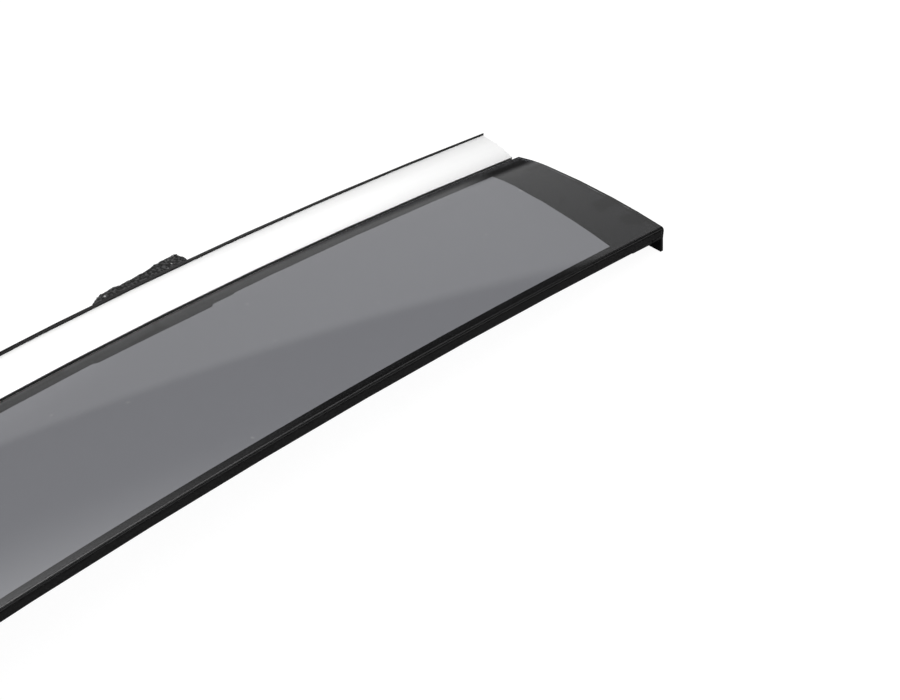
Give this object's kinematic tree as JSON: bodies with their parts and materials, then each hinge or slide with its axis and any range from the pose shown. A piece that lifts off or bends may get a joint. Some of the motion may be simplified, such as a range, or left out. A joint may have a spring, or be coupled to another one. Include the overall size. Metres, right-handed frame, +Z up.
{
  "type": "window rain deflector",
  "caption": "Arched side window deflector: smoked see-through panel in a black border, bright trim strip along the mounting flange, spring clips with sponge pads.",
  "frame": {"origin": "middle of the part's box, on the surface that it lies on with its hollow side down", "axes": "+X along the length to the wide end, +Y to the mounting edge, +Z up out of the smoked face"},
  "size_m": [0.7004, 0.1056, 0.0235],
  "materials": {
    "smoked_clear": "polished grey smoked acrylic",
    "black_moulding": "glossy black moulding",
    "bright_trim": "bright polished strip",
    "trim_foam": "dark grey foam tape",
    "mount_foam": "dark grey foam tape",
    "liner_film": "thin red film",
    "spring_steel": "fine brushed sheet",
    "sponge": "coarse black sponge",
    "rivet_metal": "plain rivets"
  },
  "bodies": {
    "root": {"smoked_panel": "smoked_clear", "black_frame": "black_moulding", "chrome_trim": "bright_trim", "trim_tape": "trim_foam", "clip_rivets": "rivet_metal", "mount_tape_1": "mount_foam", "mount_tape_2": "mount_foam", "mount_tape_3": "mount_foam", "mount_tape_4": "mount_foam", "tape_liner_1": "liner_film", "tape_liner_2": "liner_film", "tape_liner_3": "liner_film", "tape_liner_4": "liner_film", "spring_clip_1": "spring_steel", "spring_clip_2": "spring_steel", "spring_clip_3": "spring_steel", "clip_pad_1": "sponge", "clip_pad_2": "sponge", "clip_pad_3": "sponge"}
  },
  "joints": []
}
